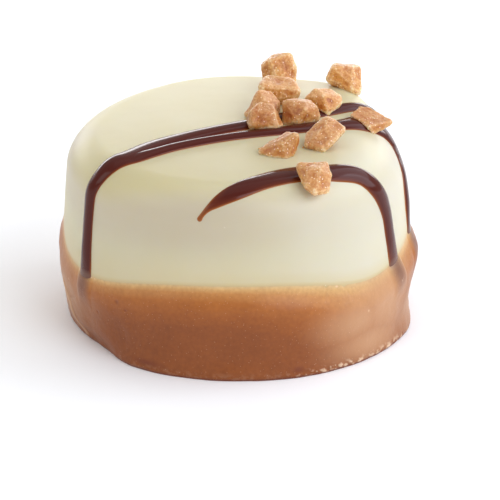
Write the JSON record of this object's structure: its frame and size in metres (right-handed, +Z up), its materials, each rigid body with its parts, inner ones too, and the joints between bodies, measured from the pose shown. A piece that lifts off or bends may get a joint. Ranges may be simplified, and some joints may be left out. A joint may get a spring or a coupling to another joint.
{
  "type": "white chocolate praline with fudge pieces",
  "caption": "Round praline: a white chocolate coat in a milk chocolate foot, with dark chocolate strands and small fudge pieces on its domed top.",
  "frame": {"origin": "middle of the flat underside, on the floor it stands on", "axes": "+Z up through the domed top, -Y towards the front, where the short strand starts, +X towards the side with the fudge pieces"},
  "size_m": [0.034, 0.0341, 0.0219],
  "materials": {
    "milk_chocolate": "satin milk chocolate, paler where it thins out over the white chocolate",
    "white_chocolate": "satin ivory white chocolate",
    "dark_chocolate": "glossy dark chocolate strands, amber brown where they thin out at the edges",
    "fudge": "matte, sugary and crumbly fudge"
  },
  "bodies": {
    "root": {"milk_chocolate_foot": "milk_chocolate", "white_chocolate_body": "white_chocolate", "fudge_piece_01": "fudge", "fudge_piece_02": "fudge", "fudge_piece_03": "fudge", "fudge_piece_04": "fudge", "fudge_piece_05": "fudge", "fudge_piece_06": "fudge", "fudge_piece_07": "fudge", "fudge_piece_08": "fudge", "fudge_piece_09": "fudge", "fudge_piece_10": "fudge", "fudge_piece_11": "fudge"}
  },
  "joints": []
}
